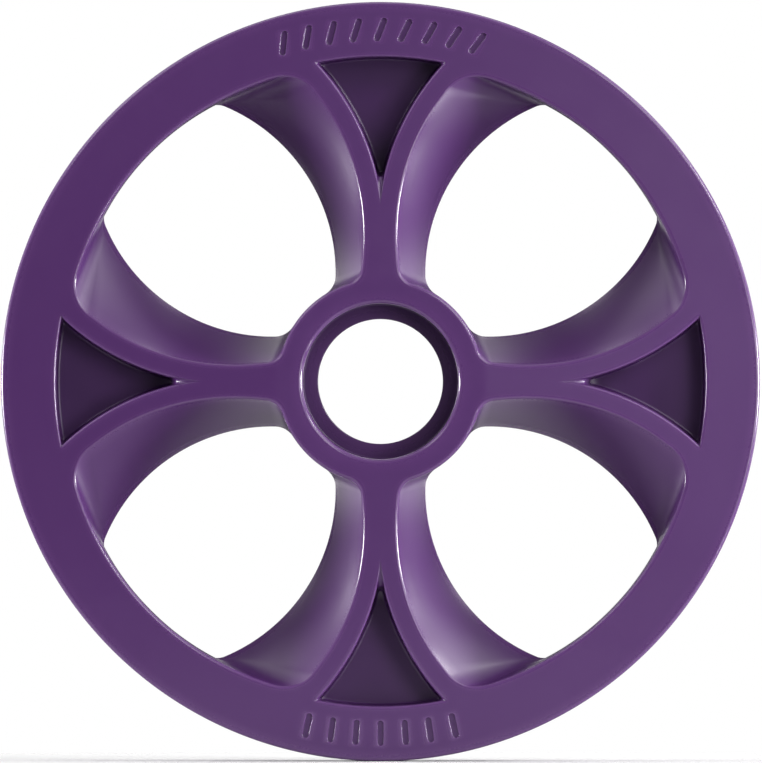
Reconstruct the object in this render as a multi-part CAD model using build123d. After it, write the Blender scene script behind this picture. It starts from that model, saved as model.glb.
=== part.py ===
from build123d import *
import math
import os

# A four-spoke moulded wheel that turns on two thin ball bearings.
# Millimetres and degrees. The axle is the Y axis, the outside of the wheel looks to -Y,
# and +Z is up. The origin is the centre of the wheel.

# Driving dimensions of the rim, the hub and the web
wheel_diameter = 254.0
rim_width = 31.0          # across the wheel at its outer edge
rim_depth = 18.4          # from the outer edge in to the windows
rim_edge_radius = 1.1
hub_width = 44.0
hub_wall = 5.5            # round the bearings
face_break = 0.5          # outside the hub, where its flat face starts to slope away to the rim
hub_mouth_chamfer = 1.5
wall_draft = 0.15         # the windows close by this much from face to mid-plane, at rim and hub

# Spokes. "cap" is a plane just outside the hub's face, "mid" the wheel's middle plane.
spoke_count = 4
cap_stand = 1.0           # cap plane, out from the hub's face
cap_waist_radius = 56.6   # where the spoke is narrowest, out from the axle
cap_waist_width = 8.24
cap_rim_angle = 8.34      # from the spoke's middle line to where its side meets the rim
cap_rim_corner = 12.5
cap_hub_corner = 6.3
mid_waist_radius = 36.2
mid_waist_width = 30.15
mid_rim_angle = 30.85
mid_rim_corner = 6.8
mid_hub_corner = 7.2

# Pockets between the two ribs of each spoke, on both faces
face_waist_radius = 49.5
face_waist_width = 10.7
face_rim_angle = 15.3
rib_width = 6.5
pocket_web = 12.0         # solid web left between two pockets' floors
pocket_draft = 2.0
pocket_tip_radius = 1.2

# Bores along the hub
front_recess_diameter = 52.0
lip_diameter = 41.8
lip_thickness = 3.0
lip_relief = 0.5          # keeps the lip off the inner race
rear_wall = 4.0           # behind the retaining ring's groove

# Bearings, 45 x 58 x 7
bearing_bore = 45.0
bearing_outer = 58.0
bearing_width = 7.0
race_chamfer = 0.3
land_gap = 2.0            # between the two races
ball_diameter = 3.97
ball_count = 22
ball_play = 0.02          # between each ball and the bottom of its groove
groove_ratio = 0.52       # groove radius over ball diameter
cage_wall = 1.2
cage_gap = 0.15           # from the cage to the seals
pocket_play = 0.1         # round each ball in the cage
seal_thickness = 0.5
seal_depth = 0.6          # of the step that the seal sits in
seal_bite = 0.55          # how far the step goes into the outer race
seal_lip_gap = 0.2        # from the seal's lip to the inner race
spacer_length = 6.0
spacer_wall = 2.0
spacer_play = 0.1         # between the outer spacer and the hub's bore

# Retaining ring and its groove
ring_thickness = 2.0
ring_width = 4.5
ring_gap_angle = 24.0
ring_lug_depth = 5.3
ring_lug_angle = 16.0
ring_lug_hole = 2.5
ring_groove_depth = 1.5

# Engraved tally strokes on the rim's front face
stroke_radius = 117.6
stroke_length = 8.4
stroke_width = 2.2
stroke_depth = 0.5
upper_strokes = 9
upper_pitch = 4.0
upper_slant = 22.0
lower_strokes = 7
lower_pitch = 4.0

seat_radius = bearing_outer / 2
hub_radius = seat_radius + hub_wall
wheel_radius = wheel_diameter / 2
window_radius = wheel_radius - rim_depth
half_hub = hub_width / 2
face_start = hub_radius + face_break
face_fall = (half_hub - rim_width / 2) / (wheel_radius - face_start)
face_slope = math.degrees(math.atan(face_fall))
cap_plane = Plane.XZ.offset(half_hub + cap_stand)
mid_plane = Plane.XZ

ring_start = half_hub - rear_wall - ring_thickness
rear_start = ring_start - bearing_width
spacer_start = rear_start - spacer_length
seat_start = spacer_start - bearing_width
lip_front = seat_start - lip_thickness
bearing_starts = {"front": seat_start, "rear": rear_start}

ball_radius = ball_diameter / 2
pitch_radius = (bearing_bore + bearing_outer) / 4
inner_land = pitch_radius - land_gap / 2
outer_land = pitch_radius + land_gap / 2
seal_seat = outer_land + seal_bite
cage_width = bearing_width - 2 * seal_depth - 2 * cage_gap
groove_radius = groove_ratio * ball_diameter
inner_groove_centre = pitch_radius - ball_radius - ball_play + groove_radius
outer_groove_centre = pitch_radius + ball_radius + ball_play - groove_radius


def turned(points):
    """A solid turned about the axle from (radius, y) points."""
    return revolve(make_face(Polyline(*points, close=True)), Axis.Y)


def sleeve(inner_radius, outer_radius, start, length):
    """A plain ring along the axle."""
    end = start + length
    return turned([(inner_radius, start), (outer_radius, start), (outer_radius, end), (inner_radius, end)])


def face_y(radius):
    """How far the spokes' and rim's sloping face stands from the mid-plane."""
    return half_hub - face_fall * (radius - face_start)


def side_arc(waist_radius, waist_width, rim_angle):
    """Centre and radius of the arc along one side of a spoke.

    The arc is nearest the spoke's middle line at the waist, half the waist's width
    away, and it meets the rim's inner circle at rim_angle.
    """
    half_width = waist_width / 2
    along = window_radius * math.cos(math.radians(rim_angle)) - waist_radius
    across = window_radius * math.sin(math.radians(rim_angle)) - half_width
    radius = (along**2 + across**2) / (2 * across)
    return (waist_radius, half_width + radius), radius


def window_outline(arc, hub_side, rim_side, hub_corner, rim_corner):
    """One window: between the hub, the rim and the facing sides of two spokes."""
    (along, across), radius = arc
    outline = Circle(rim_side) - Circle(hub_side)
    outline &= Pos(along, across) * Circle(radius)
    outline &= Pos(across, along) * Circle(radius)
    corners = outline.vertices().sort_by_distance((0, 0, 0))
    outline = fillet(corners[:2], hub_corner)
    corners = outline.vertices().sort_by_distance((0, 0, 0))
    return fillet(corners[-2:], rim_corner)


def window_cutter():
    """Both halves of one window, narrowest at the mid-plane."""
    cap_arc = side_arc(cap_waist_radius, cap_waist_width, cap_rim_angle)
    mid_arc = side_arc(mid_waist_radius, mid_waist_width, mid_rim_angle)
    cap = window_outline(cap_arc, hub_radius, window_radius, cap_hub_corner, cap_rim_corner)
    hub_side = hub_radius + wall_draft
    rim_side = window_radius - wall_draft
    mid = window_outline(mid_arc, hub_side, rim_side, mid_hub_corner, mid_rim_corner)
    half = loft([cap_plane * cap, mid_plane * mid], ruled=True)
    return half + mirror(half, about=Plane.XZ)


def pocket_outline(arc, growth):
    """One pocket: between two ribs and the rim, spread outwards by growth."""
    (along, across), radius = arc
    outline = Circle(window_radius + growth)
    outline -= Pos(along, across) * Circle(radius + rib_width - growth)
    outline -= Pos(along, -across) * Circle(radius + rib_width - growth)
    beyond = Pos(along + window_radius / 2, 0) * Rectangle(window_radius, window_radius)
    outline &= beyond
    tip = outline.vertices().sort_by(Axis.X)[0]
    return fillet(tip, pocket_tip_radius)


def pocket_cutter():
    """One pocket of the front face, with drafted walls down to a flat floor."""
    arc = side_arc(face_waist_radius, face_waist_width, face_rim_angle)
    floor_y = pocket_web / 2
    slope = math.tan(math.radians(pocket_draft))
    nominal = face_y((face_waist_radius + window_radius) / 2)
    floor = pocket_outline(arc, -(nominal - floor_y) * slope)
    top_y = half_hub + cap_stand
    top = pocket_outline(arc, (top_y - nominal) * slope)
    return loft([Plane.XZ.offset(floor_y) * floor, Plane.XZ.offset(top_y) * top], ruled=True)


def stroke_cutter(slant):
    """One engraved stroke with round ends, at the top of the rim's front face."""
    place = Pos(0, -face_y(stroke_radius), stroke_radius) * Rot(face_slope, 0, 0) * Rot(0, slant, 0)
    slot = Plane.XZ * (Rot(0, 0, 90) * SlotOverall(stroke_length, stroke_width))
    return place * extrude(slot, stroke_depth, both=True)


def wheel_body():
    edge = rim_width / 2
    fall_edge = wheel_radius - rim_edge_radius
    half = [
        (0, 0),
        (0, -half_hub),
        (face_start, -half_hub),
        (fall_edge, -face_y(fall_edge)),
        (wheel_radius, -edge + rim_edge_radius),
        (wheel_radius, 0),
    ]
    half_body = turned(half)
    body = half_body + mirror(half_body, about=Plane.XZ)

    recess = front_recess_diameter / 2
    lip = lip_diameter / 2
    groove = seat_radius + ring_groove_depth
    ring_end = ring_start + ring_thickness
    body -= turned([
        (0, -half_hub),
        (recess + hub_mouth_chamfer, -half_hub),
        (recess, -half_hub + hub_mouth_chamfer),
        (recess, lip_front),
        (lip, lip_front),
        (lip, seat_start - lip_relief),
        (seal_seat, seat_start - lip_relief),
        (seal_seat, seat_start),
        (seat_radius, seat_start),
        (seat_radius, ring_start),
        (groove, ring_start),
        (groove, ring_end),
        (seat_radius, ring_end),
        (seat_radius, half_hub - hub_mouth_chamfer),
        (seat_radius + hub_mouth_chamfer, half_hub),
        (0, half_hub),
    ])

    window = window_cutter()
    pocket = pocket_cutter()
    for index in range(spoke_count):
        turn = Rot(0, index * 360 / spoke_count, 0)
        body -= turn * window
        body -= turn * pocket
        body -= turn * mirror(pocket, about=Plane.XZ)

    for index in range(upper_strokes):
        angle = (index - (upper_strokes - 1) / 2) * upper_pitch
        body -= Rot(0, angle, 0) * stroke_cutter(upper_slant)
    for index in range(lower_strokes):
        angle = 180 + (index - (lower_strokes - 1) / 2) * lower_pitch
        body -= Rot(0, angle, 0) * stroke_cutter(0)
    return body


def groove_cutter(centre_radius, middle):
    """The ball groove of one race, as a ring of round section."""
    return revolve(Pos(centre_radius, middle) * Circle(groove_radius), Axis.Y)


def inner_race(start):
    bore = bearing_bore / 2
    end = start + bearing_width
    race = turned([
        (bore + race_chamfer, start),
        (inner_land, start),
        (inner_land, end),
        (bore + race_chamfer, end),
        (bore, end - race_chamfer),
        (bore, start + race_chamfer),
    ])
    return race - groove_cutter(inner_groove_centre, start + bearing_width / 2)


def outer_race(start):
    end = start + bearing_width
    race = turned([
        (seal_seat, start),
        (seat_radius - race_chamfer, start),
        (seat_radius, start + race_chamfer),
        (seat_radius, end - race_chamfer),
        (seat_radius - race_chamfer, end),
        (seal_seat, end),
        (seal_seat, end - seal_depth),
        (outer_land, end - seal_depth),
        (outer_land, start + seal_depth),
        (seal_seat, start + seal_depth),
    ])
    return race - groove_cutter(outer_groove_centre, start + bearing_width / 2)


def ball_places(start):
    """Where the balls sit round the bearing that begins at start, none of them on the rings' seams."""
    middle = start + bearing_width / 2
    pitch = 360 / ball_count
    return [Rot(0, (index + 0.5) * pitch, 0) * Pos(pitch_radius, middle, 0) for index in range(ball_count)]


def balls(start):
    return Compound([place * Sphere(ball_radius) for place in ball_places(start)])


def cage(start):
    middle = start + bearing_width / 2
    shell = sleeve(pitch_radius - cage_wall / 2, pitch_radius + cage_wall / 2, middle - cage_width / 2, cage_width)
    hole = Rot(0, 90, 0) * Cylinder(ball_radius + pocket_play, 2 * ball_diameter)
    for place in ball_places(start):
        shell -= place * hole
    return shell


def seal(start):
    """A flat sealing washer, held by the outer race and just clear of the inner one."""
    return sleeve(inner_land + seal_lip_gap, seal_seat, start, seal_thickness)


def retaining_ring():
    """An internal snap ring: an open ring with a lug and a plier hole at each end."""
    outside = seat_radius + ring_groove_depth
    ring = Circle(outside) - Circle(outside - ring_width)
    lug_zone = Circle(outside) - Circle(outside - ring_lug_depth)
    hole_radius = outside - ring_lug_depth / 2
    half_gap = ring_gap_angle / 2
    reach = outside * 2
    for side in (-1, 1):
        first = math.radians(90 + side * half_gap)
        last = math.radians(90 + side * (half_gap + ring_lug_angle))
        corners = [(reach * math.cos(angle), reach * math.sin(angle)) for angle in (first, last)]
        wedge = make_face(Polyline((0, 0), *corners, close=True))
        ring += lug_zone & wedge
        middle = math.radians(90 + side * (half_gap + ring_lug_angle / 2))
        ring -= Pos(hole_radius * math.cos(middle), hole_radius * math.sin(middle)) * Circle(ring_lug_hole / 2)
    edges = [math.radians(90 - half_gap), math.radians(90 + half_gap)]
    gap = make_face(Polyline((0, 0), *[(reach * math.cos(a), reach * math.sin(a)) for a in edges], close=True))
    ring -= gap
    return extrude(Plane.XZ.offset(-ring_start) * ring, -ring_thickness)


parts = {
    "wheel_body": wheel_body(),
    "inner_spacer": sleeve(bearing_bore / 2, bearing_bore / 2 + spacer_wall, spacer_start, spacer_length),
    "outer_spacer": sleeve(
        seat_radius - spacer_play - spacer_wall,
        seat_radius - spacer_play,
        spacer_start,
        spacer_length,
    ),
    "retaining_ring": retaining_ring(),
}
for side, start in bearing_starts.items():
    parts[side + "_inner_race"] = inner_race(start)
    parts[side + "_outer_race"] = outer_race(start)
    parts[side + "_balls"] = balls(start)
    parts[side + "_ball_cage"] = cage(start)
    parts[side + "_bearing_outside_seal"] = seal(start + seal_depth - seal_thickness)
    parts[side + "_bearing_inside_seal"] = seal(start + bearing_width - seal_depth)

os.makedirs("parts", exist_ok=True)
for name, shape in parts.items():
    export_step(shape, f"parts/{name}.step")
    print(name, round(shape.volume, 1))
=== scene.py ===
import math

import bmesh
import bpy
import numpy as np
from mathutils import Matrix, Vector


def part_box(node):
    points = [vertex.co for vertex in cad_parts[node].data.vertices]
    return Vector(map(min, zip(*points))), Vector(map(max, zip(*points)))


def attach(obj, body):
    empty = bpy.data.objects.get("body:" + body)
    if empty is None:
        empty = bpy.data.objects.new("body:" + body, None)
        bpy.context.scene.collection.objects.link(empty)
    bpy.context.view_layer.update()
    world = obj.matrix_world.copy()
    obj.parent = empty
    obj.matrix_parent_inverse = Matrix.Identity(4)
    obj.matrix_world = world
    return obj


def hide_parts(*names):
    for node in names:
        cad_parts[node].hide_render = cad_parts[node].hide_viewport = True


# A four-spoke moulded wheel on two thin ball bearings. Shapes are worked out in millimetres,
# with x to the right, z up and the axle along y, and become metres when their mesh is made.

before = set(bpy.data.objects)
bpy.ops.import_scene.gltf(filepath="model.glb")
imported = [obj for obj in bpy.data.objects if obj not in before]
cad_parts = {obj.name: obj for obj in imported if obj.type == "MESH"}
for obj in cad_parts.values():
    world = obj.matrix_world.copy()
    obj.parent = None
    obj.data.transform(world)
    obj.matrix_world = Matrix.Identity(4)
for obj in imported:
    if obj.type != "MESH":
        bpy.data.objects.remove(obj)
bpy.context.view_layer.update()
scene = bpy.context.scene
mm = 0.001
print("frame loaded:", len(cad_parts), "nodes")


def boxOf(node):
    low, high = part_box(node)
    return np.array(low) / mm, np.array(high) / mm


class Socket:
    # one output socket, so that shader maths reads as plain arithmetic
    def __init__(self, tree, link):
        self.tree = tree
        self.link = link

    def math(self, operation, *values):
        return self.tree.node("ShaderNodeMath", {"operation": operation}, dict(enumerate(values)))

    def __add__(self, other):
        return self.math("ADD", self, other)

    def __radd__(self, other):
        return self.math("ADD", other, self)

    def __sub__(self, other):
        return self.math("SUBTRACT", self, other)

    def __rsub__(self, other):
        return self.math("SUBTRACT", other, self)

    def __mul__(self, other):
        return self.math("MULTIPLY", self, other)

    def __rmul__(self, other):
        return self.math("MULTIPLY", other, self)

    def __truediv__(self, other):
        return self.math("DIVIDE", self, other)

    def __rtruediv__(self, other):
        return self.math("DIVIDE", other, self)

    def __pow__(self, other):
        return self.math("POWER", self, other)

    def __rpow__(self, other):
        return self.math("POWER", other, self)

    def __neg__(self):
        return self.math("MULTIPLY", self, -1.0)


class Shader:
    # one material's node tree, with a Principled shader on its output
    def __init__(self, name, **constants):
        self.material = bpy.data.materials.new(name)
        self.material.use_nodes = True
        self.nodes = self.material.node_tree.nodes
        self.links = self.material.node_tree.links
        self.principled = self.nodes["Principled BSDF"]
        for socket, value in constants.items():
            self.principled.inputs[socket.replace("_", " ")].default_value = value

    def node(self, kind, settings=None, inputs=None, output=0):
        made = self.nodes.new(kind)
        for key, value in (settings or {}).items():
            if key == "stops":
                ramp = made.color_ramp
                ramp.elements[0].position, ramp.elements[0].color = value[0]
                ramp.elements[1].position, ramp.elements[1].color = value[-1]
                for place, colour in value[1:-1]:
                    ramp.elements.new(place).color = colour
            else:
                setattr(made, key, value)
        for key, value in (inputs or {}).items():
            self.join(value, made.inputs[key])
        return Socket(self, made.outputs[output])

    def join(self, value, socket):
        if isinstance(value, Socket):
            self.links.new(value.link, socket)
        else:
            socket.default_value = value

    def set(self, socket, value):
        self.join(value, self.principled.inputs[socket])

    def place(self):
        return self.node("ShaderNodeTexCoord", output="Object")

    def noise(self, scale, detail=2.0, roughness=0.5, place=None):
        inputs = {"Vector": place or self.place(), "Scale": scale, "Detail": detail, "Roughness": roughness}
        return self.node("ShaderNodeTexNoise", inputs=inputs, output="Fac")

    def ramp(self, value, *stops):
        return self.node("ShaderNodeValToRGB", {"stops": stops}, {"Fac": value}, output="Color")

    def mix(self, share, first, second):
        inputs = {0: share, 6: first, 7: second}
        return self.node("ShaderNodeMix", {"data_type": "RGBA"}, inputs, output=2)

    def bump(self, height, strength, distance, normal=None):
        inputs = {"Strength": strength, "Distance": distance, "Height": height}
        if normal:
            inputs["Normal"] = normal
        return self.node("ShaderNodeBump", inputs=inputs, output="Normal")

    def edges(self):
        # 0 on flats and in hollows, rising to 1 on outside edges
        return self.node("ShaderNodeAttribute", {"attribute_name": "edgeWear"}, output="Fac")


def grey(value):
    return (value, value, value, 1.0)


# surfaces worked out on grids


def circlesMeet(radiusA, centreB, radiusB, nearest):
    # the point where a circle about the axle meets another one, of the two the one nearest a hint
    centreB = np.array(centreB, float)
    gap = np.linalg.norm(centreB)
    along = (radiusA**2 - radiusB**2 + gap**2) / (2 * gap)
    across = math.sqrt(radiusA**2 - along**2)
    unit = centreB / gap
    side = np.array([-unit[1], unit[0]])
    points = [along * unit + across * side, along * unit - across * side]
    return min(points, key=lambda point: np.linalg.norm(point - np.array(nearest)))


def arcPoints(centre, radius, start, end, count):
    # count steps along an arc the short way from direction start to direction end, without the last point
    first = math.atan2(start[1], start[0])
    sweep = (math.atan2(end[1], end[0]) - first + math.pi) % (2 * math.pi) - math.pi
    angle = first + sweep * np.arange(count) / count
    return np.array(centre) + radius * np.stack([np.cos(angle), np.sin(angle)], 1)


def rounded(start, corner, end, steps, reach=1.0):
    # a circular arc tangent to start-corner and corner-end: the rational quadratic with the weight
    # cos(half the turn) on its corner, for whole rows of points at once
    into = corner - start
    out = end - corner
    lengths = np.linalg.norm(into, axis=-1) * np.linalg.norm(out, axis=-1)
    turn = np.sum(into * out, -1) / np.maximum(lengths, 1e-12)
    weight = np.sqrt((1 + np.clip(turn, -1, 1)) / 2)[..., None]
    rows = []
    for t in np.linspace(0, reach, steps + 1):
        blend = (1 - t) ** 2 * start + 2 * t * (1 - t) * weight * corner + t**2 * end
        rows.append(blend / ((1 - t) ** 2 + 2 * t * (1 - t) * weight + t**2))
    return rows


def roundedLine(points, radii, steps=5):
    # a line through points with each inner corner turned into an arc of its own radius
    points = np.array(points, float)
    line = [points[0]]
    for before, corner, after, radius in zip(points[:-2], points[1:-1], points[2:], radii):
        if radius <= 0:
            line.append(corner)
            continue
        into = (before - corner) / np.linalg.norm(before - corner)
        out = (after - corner) / np.linalg.norm(after - corner)
        half = math.acos(np.clip(into @ out, -1, 1)) / 2
        cut = radius / math.tan(half)
        line += rounded(corner + into * cut, corner, corner + out * cut, steps)
    line.append(points[-1])
    return np.array(line)


def turnedGrid(line, angles):
    # a profile of (radius, y) points carried round the axle
    radius, y = line[:, 0][:, None], line[:, 1][:, None]
    angles = np.asarray(angles)[None, :]
    return np.stack([radius * np.cos(angles), y + 0 * angles, radius * np.sin(angles)], -1)


def gridFaces(rows, columns, closed=False):
    # the quads of a grid, wrapping round in its second direction when closed
    across = columns if closed else columns - 1
    row, column = np.meshgrid(np.arange(rows - 1), np.arange(across), indexing="ij")
    onward = (column + 1) % columns
    here, above = row * columns, (row + 1) * columns
    corners = [here + column, here + onward, above + onward, above + column]
    return np.stack([corner.ravel() for corner in corners], 1)


def markEdges(mesh, sharp=300.0):
    # how far each point's surface turns outwards: over its edges, the mean of the change in the normal
    # along the edge divided by the edge's length, so 1 over the radius, and 1 at sharp (1/m); the wheel's
    # painted edge highlight follows it
    points, normals = (np.empty(3 * len(mesh.vertices)) for _ in range(2))
    mesh.vertices.foreach_get("co", points)
    mesh.vertices.foreach_get("normal", normals)
    points, normals = points.reshape(-1, 3), normals.reshape(-1, 3)
    ends = np.empty(2 * len(mesh.edges), int)
    mesh.edges.foreach_get("vertices", ends)
    first, second = ends.reshape(-1, 2).T
    along = points[second] - points[first]
    turn = ((normals[second] - normals[first]) * along).sum(1) / np.maximum((along**2).sum(1), 1e-12)
    count = np.bincount(ends, minlength=len(points))
    total = np.bincount(first, turn, len(points)) + np.bincount(second, turn, len(points))
    wear = np.clip(total / np.maximum(count, 1) / sharp, 0, 1)
    mesh.attributes.new("edgeWear", "FLOAT", "POINT").data.foreach_set("value", wear)


def meshPiece(name, grids, body, material, replaces=(), merge=0.002):
    # one closed piece from grids of points: (points, closed) pairs, or (points, closed, kept faces)
    points, faces, base = [], [], 0
    for grid, closed, *kept in grids:
        quads = gridFaces(grid.shape[0], grid.shape[1], closed)
        if kept:
            quads = quads[kept[0]]
        points.append(grid.reshape(-1, 3))
        faces.append(quads + base)
        base += len(points[-1])
    points, faces = np.concatenate(points) * mm, np.concatenate(faces)
    mesh = bpy.data.meshes.new(name)
    mesh.from_pydata(points.tolist(), [], faces.tolist())
    work = bmesh.new()
    work.from_mesh(mesh)
    bmesh.ops.remove_doubles(work, verts=work.verts, dist=merge * mm)
    bmesh.ops.dissolve_degenerate(work, edges=work.edges, dist=merge * mm * 0.1)
    bmesh.ops.recalc_face_normals(work, faces=work.faces)
    openEdges = sum(1 for edge in work.edges if len(edge.link_faces) != 2)
    if work.calc_volume(signed=True) < 0:
        bmesh.ops.reverse_faces(work, faces=work.faces)
    work.to_mesh(mesh)
    work.free()
    mesh.polygons.foreach_set("use_smooth", np.ones(len(mesh.polygons), bool))
    markEdges(mesh)
    piece = bpy.data.objects.new(name, mesh)
    scene.collection.objects.link(piece)
    mesh.materials.append(material)
    weighted = piece.modifiers.new("faceWeight", "WEIGHTED_NORMAL")
    weighted.weight = 100
    weighted.keep_sharp = False
    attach(piece, body)
    if replaces:
        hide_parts(*replaces)
    print(f"{name}: {len(mesh.polygons)} faces, {openEdges} open edges")
    return piece


# the moulded wheel

wheelHigh = boxOf("wheel_body")[1]
raceLow, raceHigh = boxOf("front_outer_race")
ringLow, ringHigh = boxOf("retaining_ring")

wheel = {
    "radius": wheelHigh[0],
    "halfHub": wheelHigh[1],
    "halfRim": 15.5,
    "windowRadius": wheelHigh[0] - 18.4,
    "hubRadius": 34.5,
    "slopeStart": 35.0,             # the face is flat this far out, then slopes away to the rim
    "slopeBlend": 0.5,
    "hubFaceEnd": 31.0,             # the hub's own turned surface ends here
    "capOut": 1.0,                  # the cap plane's distance out from the hub's face
    "capSide": (56.6, 4.12, 8.34),  # spoke side at the cap: waist's radius, its half width, rim angle
    "capCorners": (6.3, 12.5),      # window corner radii at hub and rim
    "midSide": (36.2, 15.15, 30.9),
    "midCorners": (7.2, 6.8),
    "wallDraft": 0.1,
    "edgeRound": 1.15,
    "partingRound": 0.35,
    "pocketSide": (49.5, 5.35, 15.3),
    "ribWidth": 6.5,
    "pocketEdge": 0.6,              # the pocket's rounded edge reaches this far out
    "pocketEdgeDepth": 0.96,
    "pocketDraft": 2.0,
    "pocketTip": 1.2,
    "pocketCorner": 0.5,
    "halfWeb": 6.0,
    "floorRound": 0.9,
    "outerRound": 1.3,
    "partingLine": 0.08,            # height of the mould's parting line round the tread
    "partingSection": (0.5, 0.25, 0.02),  # half its width at its foot and shoulder, the shoulder's drop
    "recessRadius": 26.0,
    "lipRadius": 20.85,
    "lip": 3.0,
    "lipRelief": 0.5,
    "sealSeat": 27.3,
    "mouthRound": 1.5,
    "hubRounds": (0.6, 0.35, 0.35, 0.2, 0.1, 0.2, 0, 0, 0, 0.15, 0.4, 0.4),  # its other corners in turn
}
strokes = {
    "radius": 117.6,
    "length": 8.4,
    "width": 2.2,
    "depth": 0.5,
    "brink": ((0.15, 0), (0, 0), (-0.03, -0.15)),   # the arc at the stroke's edge: start, corner, end
    "foot": ((-0.08, 0.15), (-0.1, 0), (-0.3, 0)),  # the arc at the foot of its wall
    "cell": (112.2, 123.0),         # the ring of the rim's face that the strokes lie in
    "cellAngle": 4,
    "rows": (("top", 90, 9, 22.0), ("bottom", 270, 7, 0.0)),
}
# steps along the window's half outline: hub arc, hub corner, spoke side, rim corner, rim arc
windowSteps = (10, 10, 34, 12, 24)
crossSteps = 6                      # across a rib, and down the line where rib and rim meet
pocketSteps = (6, 19, 2, 7)         # round the pocket's tip, along its side, half its corner, its rim side
pocketTurn = sum(pocketSteps[:3])   # the pocket's own corner, counted from its tip


def faceHeight(radius):
    # how far the face stands out from the mid-plane: level over the hub, then a straight slope, with
    # a parabola between them where (radius - start) is within the blend either side
    fall = (wheel["halfHub"] - wheel["halfRim"]) / (wheel["radius"] - wheel["slopeStart"])
    blend = wheel["slopeBlend"]
    past = radius - wheel["slopeStart"]
    curve = np.clip(past + blend, 0, 2 * blend) ** 2 / (4 * blend)
    return wheel["halfHub"] - fall * np.where(past > blend, past, curve)


def sideArc(waist, halfWidth, rimAngle):
    # an arc nearest the spoke's middle line at its waist, that meets the rim's circle at rimAngle
    along = wheel["windowRadius"] * math.cos(math.radians(rimAngle)) - waist
    across = wheel["windowRadius"] * math.sin(math.radians(rimAngle)) - halfWidth
    radius = (along**2 + across**2) / (2 * across)
    return np.array([waist, halfWidth + radius]), radius


def windowHalf(side, corners, hubSide, rimSide):
    # half a window's outline, from its middle at the hub, along the spoke, to its middle at the rim
    centre, radius = sideArc(*side)
    hubRound, rimRound = corners
    hubCentre = circlesMeet(hubSide + hubRound, centre, radius - hubRound, (hubSide, 0))
    rimCentre = circlesMeet(rimSide - rimRound, centre, radius - rimRound, (rimSide, 0))
    middle = np.array([1.0, 1.0])
    arcs = [
        arcPoints((0, 0), hubSide, middle, hubCentre, windowSteps[0]),
        arcPoints(hubCentre, hubRound, -hubCentre, hubCentre - centre, windowSteps[1]),
        arcPoints(centre, radius, hubCentre - centre, rimCentre - centre, windowSteps[2]),
        arcPoints(rimCentre, rimRound, rimCentre - centre, rimCentre, windowSteps[3]),
        arcPoints((0, 0), rimSide, rimCentre, middle, windowSteps[4]),
        [middle / np.linalg.norm(middle) * rimSide],
    ]
    return np.concatenate(arcs)


def lifted(plan, height):
    # plan points and heights as (x, y, z), on the front where y is negative
    return np.stack([plan[..., 0], -height + 0 * plan[..., 0], plan[..., 1]], -1)


def windowWall():
    # straight lines from the cap outline to the mid-plane outline, the same share along each,
    # with the edge at the face and the crease at the mid-plane both rounded
    capHeight = wheel["halfHub"] + wheel["capOut"]
    cap = windowHalf(wheel["capSide"], wheel["capCorners"], wheel["hubRadius"], wheel["windowRadius"])
    mid = windowHalf(
        wheel["midSide"],
        wheel["midCorners"],
        wheel["hubRadius"] + wheel["wallDraft"],
        wheel["windowRadius"] - wheel["wallDraft"],
    )
    lean = (cap - mid) / capHeight

    def at(height):
        return lifted(mid + lean * height[:, None], height)

    height = np.full(len(cap), wheel["halfHub"])
    for _ in range(12):
        height = faceHeight(np.linalg.norm(mid + lean * height[:, None], axis=1))
    edge = mid + lean * height[:, None]
    ahead = np.gradient(edge, axis=0)
    ahead[0], ahead[-1] = (1, -1), (-1, 1)
    ahead /= np.linalg.norm(ahead, axis=1)[:, None]
    land = np.stack([ahead[:, 1], -ahead[:, 0]], 1)
    slope = np.arctan(np.sum(lean * land, 1))
    cut = wheel["edgeRound"] * np.tan((math.pi / 2 - slope) / 2)
    landEdge = edge + land * cut[:, None]
    top = lifted(landEdge, faceHeight(np.linalg.norm(landEdge, axis=1)))
    under = height - cut * np.cos(slope)
    rows = rounded(top, lifted(edge, height), at(under), 4)
    low = np.full(len(cap), wheel["partingRound"])
    for share in np.linspace(0, 1, 8)[1:-1]:
        rows.append(at(under + (low - under) * share))
    crease = at(low)
    rows += rounded(crease, lifted(mid, 0 * low), crease * (1, -1, 1), 3, reach=0.5)
    return np.stack(rows), landEdge


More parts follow.
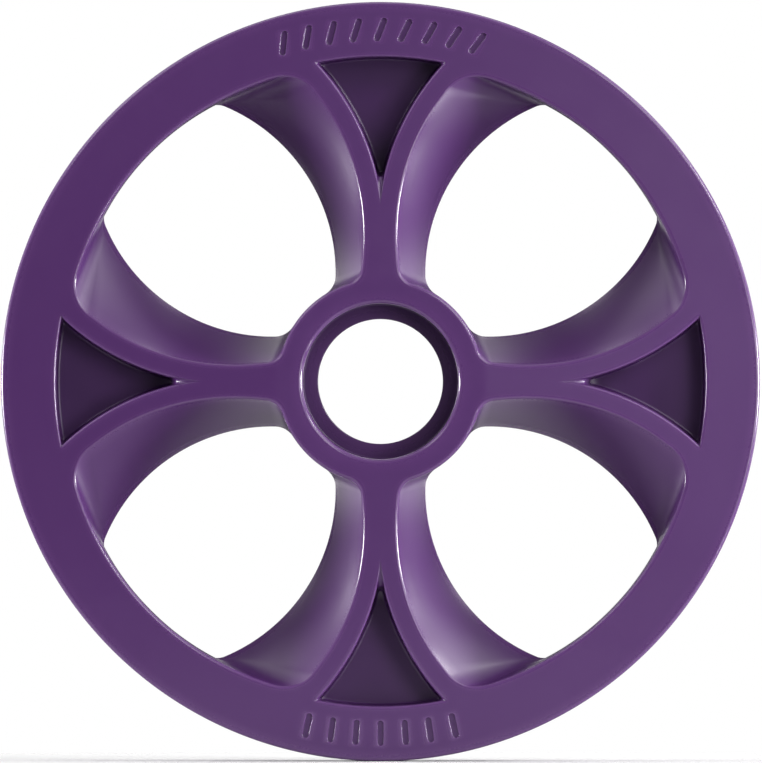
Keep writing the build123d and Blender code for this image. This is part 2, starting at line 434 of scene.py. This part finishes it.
def pocketOutline(growth, tipRound=0.0, cornerRound=0.0):
    # half a pocket's outline, from its tip to its middle at the rim, all its arcs moved out by growth,
    # with its tip and its corner rounded
    (along, across), radius = sideArc(*wheel["pocketSide"])
    centre, radius = np.array([along, across]), radius + wheel["ribWidth"] - growth
    rimSide = wheel["windowRadius"] + growth
    if tipRound:
        tipCentre = np.array([along + math.sqrt((radius + tipRound) ** 2 - across**2), 0])
        cornerCentre = circlesMeet(rimSide - cornerRound, centre, radius + cornerRound, (rimSide, 0))
        arcs = [
            arcPoints(tipCentre, tipRound, (-1, 0), centre - tipCentre, pocketSteps[0]),
            arcPoints(centre, radius, tipCentre - centre, cornerCentre - centre, pocketSteps[1]),
            arcPoints(cornerCentre, cornerRound, centre - cornerCentre, cornerCentre, 2 * pocketSteps[2]),
            arcPoints((0, 0), rimSide, cornerCentre, (1, 0), pocketSteps[3]),
            [(rimSide, 0)],
        ]
        return np.concatenate(arcs)
    inner = pocketOutline(0, wheel["pocketTip"], wheel["pocketCorner"])
    tip = np.array([along + math.sqrt(radius**2 - across**2), 0])
    corner = circlesMeet(rimSide, centre, radius, (rimSide, 0))

    def bearing(point):
        return math.atan2(*(point - centre)[::-1])

    foot, last = bearing(inner[pocketSteps[0]]), bearing(inner[pocketSteps[0] + pocketSteps[1]])
    side = np.concatenate([
        np.linspace(bearing(tip), foot, pocketSteps[0] + 1)[:-1],
        np.linspace(foot, last, pocketSteps[1] + 1)[:-1],
        np.linspace(last, bearing(corner), pocketSteps[2] + 1),
    ])
    sidePoints = centre + radius * np.stack([np.cos(side), np.sin(side)], 1)
    rimStart = math.atan2(*inner[pocketTurn + pocketSteps[2]][::-1])
    rim = np.concatenate([
        np.linspace(math.atan2(corner[1], corner[0]), rimStart, pocketSteps[2] + 1)[1:-1],
        np.linspace(rimStart, 0, pocketSteps[3] + 1),
    ])
    return np.concatenate([sidePoints, rimSide * np.stack([np.cos(rim), np.sin(rim)], 1)])


def pocketWall():
    # from the sharp outline on the face, over a rounded edge, to the rounded outline of the wall,
    # down its draft to a rounded foot, then a floor whose rows are arcs about the axle
    edge, foot, floor = wheel["pocketEdge"], wheel["floorRound"], wheel["halfWeb"]
    slope = math.tan(math.radians(wheel["pocketDraft"]))
    tip, corner = wheel["pocketTip"], wheel["pocketCorner"]
    land = pocketOutline(edge)
    landHeight = faceHeight(np.linalg.norm(land, axis=1))
    brink = pocketOutline(0, tip, corner)
    brinkHeight = faceHeight(np.linalg.norm(brink, axis=1))
    wallTop = pocketOutline(-edge * slope, tip, corner)
    apart = np.linalg.norm(brink - land, axis=1)[:, None]
    turn = land + (brink - land) * np.minimum(1, edge / apart)
    wallStart = lifted(wallTop, brinkHeight - wheel["pocketEdgeDepth"])
    rows = rounded(lifted(land, landHeight), lifted(turn, landHeight), wallStart, 4)
    depth = np.mean(brinkHeight) - floor
    section = rounded(
        np.array([-depth * slope, floor + foot]),
        np.array([-depth * slope, floor]),
        np.array([-depth * slope - foot, floor]),
        4,
    )
    feet = [lifted(pocketOutline(growth, tip, corner), height) for growth, height in section]
    for share in np.linspace(0, 1, 5)[1:-1]:
        rows.append(rows[4] + (feet[0] - rows[4]) * share)
    plan = pocketOutline(section[-1][0], tip, corner)
    radius, angle = np.linalg.norm(plan, axis=1), np.arctan2(plan[:, 1], plan[:, 0])
    side, rim = slice(0, pocketTurn + 1), slice(pocketTurn, None)
    reach = ((radius[side] - radius[0]) / (radius[pocketTurn] - radius[0])) ** 2
    spread = radius[side][:, None] + reach[:, None] * (radius[rim] - radius[pocketTurn])
    turn = angle[side][:, None] * (angle[rim] / angle[pocketTurn])
    base = lifted(np.stack([spread * np.cos(turn), spread * np.sin(turn)], -1), floor)
    return np.stack(rows + feet), base, land


def bridge(first, second, steps):
    # from one row of points to another, sharing out radius and angle evenly, on the sloping face
    share = np.linspace(0, 1, steps + 1)[:, None]
    radius = np.linalg.norm(first, axis=1) * (1 - share) + np.linalg.norm(second, axis=1) * share
    start, end = np.arctan2(first[:, 1], first[:, 0]), np.arctan2(second[:, 1], second[:, 0])
    angle = start * (1 - share) + end * share
    return lifted(np.stack([radius * np.cos(angle), radius * np.sin(angle)], -1), faceHeight(radius))


def ribFace(landEdge, pocketEdge):
    # the face between a window and what it faces: the hub's own ring, the spoke's middle line, then
    # the pocket. On the middle line each point is as far out as the window point it faces, so that
    # the rows there run round the axle and the change of slope falls between two of them
    cutAt = sum(windowSteps[:3]) + windowSteps[3] // 2
    pocketFrom = cutAt - pocketTurn
    stemFrom = windowSteps[0] + windowSteps[1] // 2
    turn = math.pi / 4 * (1 - np.arange(stemFrom + 1) / stemFrom)
    ring = wheel["hubFaceEnd"] * np.stack([np.cos(turn), np.sin(turn)], 1)
    reach = np.linalg.norm(landEdge, axis=1)
    along = np.arange(1, pocketFrom - stemFrom + 1) / (pocketFrom - stemFrom)
    opposite = reach[stemFrom + 1 : pocketFrom + 1]
    join = np.clip(along * (pocketFrom - stemFrom) / 5, 0, 1)
    start = wheel["hubFaceEnd"] + (reach[stemFrom + 5] - wheel["hubFaceEnd"]) * join
    stem = np.where(join < 1, start, opposite + (pocketEdge[0, 0] - reach[pocketFrom]) * along**3)
    facing = np.concatenate([ring, np.stack([stem, 0 * stem], 1), pocketEdge[1 : pocketTurn + 1]])
    return bridge(landEdge[: cutAt + 1], facing, crossSteps), turn, cutAt


def rimFace(landEdge, pocketEdge, cutAt):
    # the rim's face inside the stroke ring, from the pocket, the rib's end and the window outwards
    share = np.arange(1, crossSteps)[:, None] / crossSteps
    corner, window = pocketEdge[pocketTurn], landEdge[cutAt]
    reach = np.linalg.norm(corner) * (1 - share) + np.linalg.norm(window) * share
    turn = math.atan2(corner[1], corner[0]) * (1 - share) + math.atan2(window[1], window[0]) * share
    ribEnd = np.concatenate([reach * np.cos(turn), reach * np.sin(turn)], 1)
    inner = np.concatenate([pocketEdge[: pocketTurn - 1 : -1], ribEnd, landEdge[cutAt:]])
    angle = np.radians(np.arange(len(inner)))
    outer = strokes["cell"][0] * np.stack([np.cos(angle), np.sin(angle)], 1)
    return bridge(inner, outer, 4)


def everyWay(grid, backToo=True):
    # eight half spokes, and the same eight mirrored on the back
    copies = []
    for mirror in (1, -1):
        flipped = grid * (1, 1, mirror)
        for quarter in range(4):
            cosine, sine = round(math.cos(quarter * math.pi / 2)), round(math.sin(quarter * math.pi / 2))
            x = flipped[..., 0] * cosine - flipped[..., 2] * sine
            z = flipped[..., 0] * sine + flipped[..., 2] * cosine
            turned = np.stack([x, flipped[..., 1], z], -1)
            copies.append((turned, False))
            if backToo:
                copies.append((turned * (1, -1, 1), False))
    return copies


def strokeCell(middle, slant):
    # a ring of points from the cell's border in to a long round-ended stroke, down its wall, and
    # over its floor to the stroke's own middle line
    inner, outer = strokes["cell"]
    half = strokes["cellAngle"] / 2
    degrees = np.arange(-half, half + 1)
    rise = np.linspace(inner, outer, 9)
    lowSide = np.stack([0 * degrees + inner, degrees], 1)
    rightSide = np.stack([rise, 0 * rise + half], 1)
    border = np.concatenate([
        lowSide[int(half):-1],
        rightSide[:-1],
        lowSide[:0:-1] * (0, 1) + (outer, 0),
        (rightSide * (1, -1))[:0:-1],
        lowSide[: int(half)],
    ])
    turn = np.radians(middle - border[:, 1])
    plan = border[:, :1] * np.stack([np.cos(turn), np.sin(turn)], 1)

    capAngles = np.radians(np.linspace(0, 90, 4))
    quarter = np.stack([np.sin(capAngles), -np.cos(capAngles)], 1)
    straight = (strokes["length"] - strokes["width"]) / 2
    side = np.linspace(-straight, straight, 7)[1:-1]
    lean = math.radians(slant)

    def stroke(radius):
        lowCap = quarter * radius - (0, straight)
        highCap = (quarter * (1, -1))[::-1] * radius + (0, straight)
        rightSide = np.concatenate([lowCap, np.stack([0 * side + radius, side], 1), highCap])
        loop = np.concatenate([rightSide, (rightSide * (-1, 1))[-2:0:-1]])
        across = loop[:, 0] * math.cos(lean) + loop[:, 1] * math.sin(lean)
        along = strokes["radius"] - loop[:, 0] * math.sin(lean) + loop[:, 1] * math.cos(lean)
        outward = np.array([math.cos(math.radians(middle)), math.sin(math.radians(middle))])
        right = np.array([outward[1], -outward[0]])
        return along[:, None] * outward + across[:, None] * right

    width = strokes["width"] / 2
    widest = width + strokes["brink"][0][0]
    section = rounded(*(np.array(offset) + (width, 0) for offset in strokes["brink"]), 2)
    section += rounded(*(np.array(offset) + (width, -strokes["depth"]) for offset in strokes["foot"]), 2)
    section.append(np.array([0, -strokes["depth"]]))
    rows = [(plan, 0), ((plan + stroke(widest)) / 2, 0)]
    rows += [(stroke(radius), drop) for radius, drop in section]
    grid = [lifted(points, faceHeight(np.linalg.norm(points, axis=1)) + drop) for points, drop in rows]
    return np.stack(grid), True


def strokeRing(front):
    # the ring of the rim's face that holds the strokes, whose own cells are left out of it
    radius = np.linspace(*strokes["cell"], 9)
    grid = turnedGrid(np.stack([radius, -faceHeight(radius)], 1), np.radians(np.arange(360)))
    if not front:
        return [(grid * (1, -1, 1), True)]
    kept = np.ones((8, 360), bool)
    cells = []
    for _, middle, count, slant in strokes["rows"]:
        pitch = strokes["cellAngle"]
        first = middle - (count - 1) * pitch // 2
        kept[:, [(first - pitch // 2 + step) % 360 for step in range(count * pitch)]] = False
        cells += [strokeCell(first + index * pitch, slant) for index in range(count)]
    return [(grid, True, kept.ravel())] + cells


def treadGrid():
    # the rim's outer edge and tread, with the fine raised line where the mould's halves met
    start, radius = strokes["cell"][1], wheel["radius"] - wheel["partingLine"]
    edge = faceHeight(radius)
    foot, shoulder, sink = wheel["partingSection"]
    corners = [(start, -faceHeight(start)), (radius, -edge), (radius, -foot)]
    half = roundedLine(corners, [wheel["outerRound"]], 5)
    line = [(wheel["radius"] - sink, -shoulder), (wheel["radius"], 0), (wheel["radius"] - sink, shoulder)]
    profile = np.concatenate([half, line, half[::-1] * (1, -1)])
    return turnedGrid(profile, np.radians(np.arange(360)))


def hubGrid(halfAngles):
    # the hub from its front face, through its bore, to its rear face
    face, start = wheel["halfHub"], wheel["hubFaceEnd"]
    recess, lip, mouth = wheel["recessRadius"], wheel["lipRadius"], wheel["mouthRound"]
    seat, groove = raceHigh[0], ringHigh[0]
    seatStart, ringStart, ringEnd = raceLow[1], ringLow[1], ringHigh[1]
    lipFront, relief = seatStart - wheel["lip"], seatStart - wheel["lipRelief"]
    points = [
        (start, -face), (recess, -face), (recess, lipFront), (lip, lipFront), (lip, relief),
        (wheel["sealSeat"], relief), (wheel["sealSeat"], seatStart), (seat, seatStart),
        (seat, ringStart), (groove, ringStart), (groove, ringEnd), (seat, ringEnd),
        (seat, face - mouth), (seat + mouth, face), (start, face),
    ]
    radii = [mouth, *wheel["hubRounds"]]
    quarter = np.concatenate([halfAngles, -halfAngles])
    angles = np.concatenate([quarter + turn * math.pi / 2 for turn in range(4)]) % (2 * math.pi)
    angles = np.sort(angles)
    angles = angles[np.diff(angles, prepend=-1) > 1e-6]
    if 2 * math.pi - angles[-1] < 1e-6:
        angles = angles[:-1]
    return turnedGrid(roundedLine(points, radii), angles)


purple = {
    "colour": (0.056, 0.0140, 0.094, 1.0),
    "deep": (0.048, 0.0117, 0.081, 1.0),
    # the paler colour of the painted highlight along the outside edges
    "palest": (0.15, 0.08, 0.20, 1.0),
    "roughness": 0.36,
    "grainScale": 2600.0,
    "grainDepth": 0.00002,
}


def purpleMoulding():
    # satin plastic: a fine etched grain, a slow drift of tone, and a painted highlight, the outside edges
    # painted a little paler
    shader = Shader("purpleMoulding", IOR=1.5)
    grain = shader.noise(purple["grainScale"], detail=3.0, roughness=0.6)
    drift = shader.noise(14.0, detail=3.0)
    flow = shader.noise(90.0, detail=4.0, roughness=0.65)
    # painted highlight: the outside edges, a little uneven, mixed towards the paler colour below and made
    # glossier
    paling = shader.edges() * (0.45 + 0.3 * flow)
    tone = shader.mix(drift * 0.55 + flow * 0.25, purple["deep"], purple["colour"])
    shader.set("Base Color", shader.mix(paling * 0.5, tone, purple["palest"]))
    shader.set("Roughness", purple["roughness"] + 0.1 * (grain - 0.5) + 0.08 * (flow - 0.5) - 0.34 * paling)
    coarse = shader.bump(flow, 0.12, 0.0002)
    shader.set("Normal", shader.bump(grain, 0.35, purple["grainDepth"], coarse))
    return shader.material


def buildWheel():
    wall, landEdge = windowWall()
    pocket, floor, pocketEdge = pocketWall()
    rib, hubAngles, cutAt = ribFace(landEdge, pocketEdge)
    rim = rimFace(landEdge, pocketEdge, cutAt)
    grids = []
    for grid in (wall, pocket, floor, rib, rim):
        grids += everyWay(grid)
    grids += strokeRing(True) + strokeRing(False)
    grids += [(treadGrid(), True), (hubGrid(hubAngles), True)]
    return meshPiece("wheelMoulding", grids, "wheel", purpleMoulding(), ("wheel_body",))


buildWheel()


# the bearings and what holds them

bearing = {
    "chamfer": 0.3,
    "innerLand": 24.75,
    "outerLand": 26.75,
    "grooveRadius": 2.064,
    "grooveInset": 0.059,           # each groove's centre, past the balls' own circle
    "sealStep": 0.14,
    "sealGap": 0.2,                 # between a seal's lip and the inner race
    "sealBead": (0.45, 0.6),        # a seal's raised edges: their width on top and at their foot
    "sealRounds": (0.08, 0.08, 0.05, 0.05, 0.08, 0.08, 0.08, 0.08),
    "sealSink": 0.6,                # depth of the seats that the seals are set into
    "landRound": 0.12,
    "seatRound": 0.1,
    "spacerWall": 2.0,
}


def turnedPlace(shader):
    # radius and height along the axle, so that noise over them runs round the part like tool marks
    place = shader.node("ShaderNodeSeparateXYZ", inputs={"Vector": shader.place()})
    x, y, z = (Socket(shader, place.link.node.outputs[axis]) for axis in range(3))
    radius = (x * x + z * z) ** 0.5
    return shader.node("ShaderNodeCombineXYZ", inputs={"X": radius, "Y": y}, output="Vector")


def steel(name, colour, roughness, marks, depth):
    # ground or turned metal: fine rings of tool marks, a faint mottle, and a few handling smudges
    shader = Shader(name, Metallic=1.0)
    rings = shader.noise(marks, detail=3.0, place=turnedPlace(shader))
    mottle = shader.noise(260.0, detail=4.0, roughness=0.6)
    smudge = shader.noise(45.0, detail=2.0)
    darker = tuple(0.82 * channel for channel in colour) + (1.0,)
    shader.set("Base Color", shader.mix(rings * 0.5 + mottle * 0.4, darker, colour + (1.0,)))
    shader.set("Roughness", roughness + 0.12 * (rings - 0.5) + 0.1 * (smudge - 0.4))
    shader.set("Normal", shader.bump(rings, 0.3, depth))
    return shader.material


nylonLook = {"deep": (0.46, 0.39, 0.26, 1.0), "pale": (0.58, 0.51, 0.37, 1.0), "roughness": 0.42}
rubberLook = {"black": (0.010, 0.010, 0.011, 1.0), "dusty": (0.026, 0.025, 0.025, 1.0), "roughness": 0.5}
springLook = {
    "dark": (0.045, 0.044, 0.046, 1.0),
    "pale": (0.11, 0.105, 0.10, 1.0),
    "palest": (0.38, 0.37, 0.36, 1.0),
    "roughness": 0.5,
}


def nylon():
    # moulded cage: pale and slightly mottled, with fine glass filler showing
    shader = Shader("naturalNylon", IOR=1.53, Subsurface_Weight=0.08)
    shader.principled.inputs["Subsurface Radius"].default_value = (0.002, 0.0015, 0.001)
    mottle = shader.noise(320.0, detail=3.0)
    filler = shader.noise(5200.0, detail=1.0)
    shader.set("Base Color", shader.ramp(mottle, (0.3, nylonLook["deep"]), (0.7, nylonLook["pale"])))
    shader.set("Roughness", nylonLook["roughness"] + 0.2 * filler)
    shader.set("Normal", shader.bump(filler, 0.2, 0.00001))
    return shader.material


def rubber():
    # black sealing rubber: faint mould rings, a dry dusty bloom and a soft sheen
    shader = Shader("sealRubber", IOR=1.52)
    rings = shader.noise(5200.0, detail=1.0, place=turnedPlace(shader))
    bloom = shader.noise(170.0, detail=5.0, roughness=0.65)
    shader.set("Base Color", shader.ramp(bloom, (0.35, rubberLook["black"]), (0.75, rubberLook["dusty"])))
    shader.set("Roughness", rubberLook["roughness"] + 0.22 * (bloom - 0.4) + 0.08 * (rings - 0.5))
    shader.set("Normal", shader.bump(rings, 0.25, 0.00001, shader.bump(bloom, 0.2, 0.00003)))
    return shader.material


def phosphate():
    # dark phosphated spring steel, rubbed a little brighter in patches
    shader = Shader("springSteel", Metallic=0.85)
    grain = shader.noise(1700.0, detail=4.0, roughness=0.7)
    patch = shader.noise(120.0, detail=3.0)
    paling = 0.25 * patch
    tone = shader.ramp(grain, (0.3, springLook["dark"]), (0.7, springLook["pale"]))
    shader.set("Base Color", shader.mix(paling * 0.6, tone, springLook["palest"]))
    shader.set("Roughness", springLook["roughness"] + 0.18 * (grain - 0.5) - 0.12 * paling)
    shader.set("Normal", shader.bump(grain, 0.3, 0.00001))
    return shader.material


def turnedPiece(name, points, radii, body, material, steps=4):
    # a closed ring: the section starts and ends at one point halfway along a flat side
    section = roundedLine(points, radii, steps)
    grid = turnedGrid(section, np.radians(np.arange(0, 360, 1.5)))
    return meshPiece(name + "Surface", [(grid, True)], body, material, (name,))


def groove(centre, middle, land, side):
    # the points of a ball groove's arc between the two edges of a race's land
    half = math.acos(abs(land - centre) / bearing["grooveRadius"])
    angle = np.linspace(-half, half, 17)
    across = centre - side * bearing["grooveRadius"] * np.cos(angle)
    return np.stack([across, middle + bearing["grooveRadius"] * np.sin(angle)], 1)


def ring(inner, outer, start, end, bevels=(0.3, 0.3)):
    # a plain ring's section, from the middle of its bore round and back to it
    middle = (start + end) / 2
    points = [(inner, middle), (inner, start), (outer, start), (outer, end), (inner, end), (inner, middle)]
    return points, [bevels[0], bevels[1], bevels[1], bevels[0]]


def buildBearing(side, steelMaterial, rubberMaterial):
    low, high = boxOf(side + "_outer_race")
    start, end, outer = low[1], high[1], high[0]
    bore = boxOf("inner_spacer")[1][0] - bearing["spacerWall"]
    middle, chamfer = (start + end) / 2, bearing["chamfer"]
    pitch = (bearing["innerLand"] + bearing["outerLand"]) / 2

    land = bearing["innerLand"]
    arc = groove(pitch + bearing["grooveInset"], middle, land, 1)
    points = [
        (bore, middle), (bore, end), (land, end), *arc[::-1],
        (land, start), (bore, start), (bore, middle),
    ]
    radii = [chamfer, bearing["landRound"]] + [0] * len(arc) + [bearing["landRound"], chamfer]
    turnedPiece(side + "_inner_race", points, radii, "axle_rings", steelMaterial)

    land, seat, sink = bearing["outerLand"], wheel["sealSeat"], bearing["sealSink"]
    arc = groove(pitch - bearing["grooveInset"], middle, land, -1)
    points = [
        (outer, middle), (outer, start), (seat, start), (seat, start + sink), (land, start + sink), *arc,
        (land, end - sink), (seat, end - sink), (seat, end), (outer, end), (outer, middle),
    ]
    radii = [chamfer, bearing["seatRound"], 0, 0] + [0] * len(arc) + [0, 0, bearing["seatRound"], chamfer]
    turnedPiece(side + "_outer_race", points, radii, "wheel", steelMaterial)

    crest, foot = bearing["sealBead"]
    for place in ("outside", "inside"):
        name = f"{side}_bearing_{place}_seal"
        low, high = boxOf(name)
        lip, rim = bearing["innerLand"] + bearing["sealGap"], high[0]
        out, inward = (low[1], high[1]) if place == "outside" else (high[1], low[1])
        sunk = out + (inward - out) * bearing["sealStep"] / (high[1] - low[1])
        points = [
            (lip, (out + inward) / 2), (lip, out), (lip + crest, out), (lip + foot, sunk), (rim - foot, sunk),
            (rim - crest, out), (rim, out), (rim, inward), (lip, inward), (lip, (out + inward) / 2),
        ]
        turnedPiece(name, points, bearing["sealRounds"], "wheel", rubberMaterial, 3)


def buildBearings():
    raceSteel = steel("groundSteel", (0.56, 0.565, 0.58), 0.2, 3200.0, 0.000004)
    ballSteel = steel("polishedSteel", (0.62, 0.625, 0.64), 0.08, 400.0, 0.000001)
    aluminium = steel("turnedAluminium", (0.74, 0.745, 0.755), 0.3, 1900.0, 0.00001)
    rubberMaterial, cageMaterial, ringMaterial = rubber(), nylon(), phosphate()
    for side in ("front", "rear"):
        buildBearing(side, raceSteel, rubberMaterial)
    for name, body in (("inner_spacer", "axle_rings"), ("outer_spacer", "wheel")):
        low, high = boxOf(name)
        points, radii = ring(high[0] - bearing["spacerWall"], high[0], low[1], high[1])
        turnedPiece(name, points, radii, body, aluminium)
    better = {"cage_nylon": cageMaterial, "ball_steel": ballSteel, "spring_steel": ringMaterial}
    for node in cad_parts.values():
        for slot in node.material_slots:
            if slot.material and slot.material.name in better:
                slot.material = better[slot.material.name]


buildBearings()


# stage, light and camera

studio = {
    "distance": 11.335,
    "lens": 1600.0,
    "centre": (0.00018, 0.0),
    "lampDistance": 2.0,
    "ambient": 0.14,
    "floorRadius": 0.26,
    "floorTone": 0.62,
    "clipEnd": 50,
}
# round lamps in a dome: degrees off the camera's axis, degrees round it from the right, watts, metres
lamps = (
    (35, 0, 12, 0.8), (35, 45, 8, 0.8), (60, 45, 6, 0.8), (60, 135, 6, 0.8),
    (84, 180, 60, 0.5), (80, 0, 60, 0.5), (64, 30, 10, 0.35), (64, 332, 6, 0.35),
    (90, 0, 9, 1.4), (90, 30, 12, 1.4), (90, 60, 8, 1.4), (90, 90, 9, 1.4), (90, 120, 9, 1.4),
    (90, 150, 7, 1.8), (90, 180, 4, 1.8), (90, 210, 4, 1.8),
    (120, 45, 4, 0.9), (120, 135, 4, 0.9),
    (150, 0, 7, 0.9), (150, 90, 5, 0.9), (150, 180, 7, 0.9),
)


def aimed(place):
    return (-Vector(place)).to_track_quat("-Z", "Y").to_euler()


def buildLamps():
    for offAxis, azimuth, watts, size in lamps:
        off, turn = math.radians(offAxis), math.radians(azimuth)
        place = np.array([math.sin(off) * math.cos(turn), -math.cos(off), math.sin(off) * math.sin(turn)])
        data = bpy.data.lights.new(f"lamp{offAxis}at{azimuth}", "AREA")
        data.shape = "DISK"
        data.size = size
        data.energy = watts
        lamp = bpy.data.objects.new(data.name, data)
        lamp.location = place * studio["lampDistance"]
        lamp.rotation_euler = aimed(lamp.location)
        lamp.visible_camera = False
        scene.collection.objects.link(lamp)


def buildStage():
    # a plain floor at the wheel's lowest point
    turn = np.radians(np.arange(0, 360, 3))
    rim = np.stack([np.cos(turn), np.sin(turn)], 1) * studio["floorRadius"]
    corners = np.column_stack([rim, np.full(len(rim), -wheelHigh[0] * mm)])
    mesh = bpy.data.meshes.new("floor")
    mesh.from_pydata(corners.tolist(), [], [list(range(len(rim)))])
    floor = bpy.data.objects.new("floor", mesh)
    scene.collection.objects.link(floor)
    shader = Shader("paleFloor", Roughness=0.9)
    shader.set("Base Color", grey(studio["floorTone"]))
    mesh.materials.append(shader.material)


def buildWorld():
    world = bpy.data.worlds.new("studio")
    world.use_nodes = True
    scene.world = world
    nodes, links = world.node_tree.nodes, world.node_tree.links
    background = nodes["Background"]
    background.inputs["Color"].default_value = grey(1.0)
    path = nodes.new("ShaderNodeLightPath")
    share = nodes.new("ShaderNodeMapRange")
    share.inputs["To Min"].default_value = studio["ambient"]
    links.new(path.outputs["Is Camera Ray"], share.inputs["Value"])
    links.new(share.outputs["Result"], background.inputs["Strength"])


def buildCamera():
    data = bpy.data.cameras.new("camera")
    data.sensor_fit = "HORIZONTAL"
    data.lens = studio["lens"]
    data.clip_end = studio["clipEnd"]
    camera = bpy.data.objects.new("camera", data)
    camera.location = (studio["centre"][0], -studio["distance"], studio["centre"][1])
    camera.rotation_euler = (math.pi / 2, 0, 0)
    scene.collection.objects.link(camera)
    scene.camera = camera


buildStage()
buildWorld()
buildCamera()
buildLamps()
scene.view_settings.view_transform = "Standard"
print("stage, lights and camera ready")
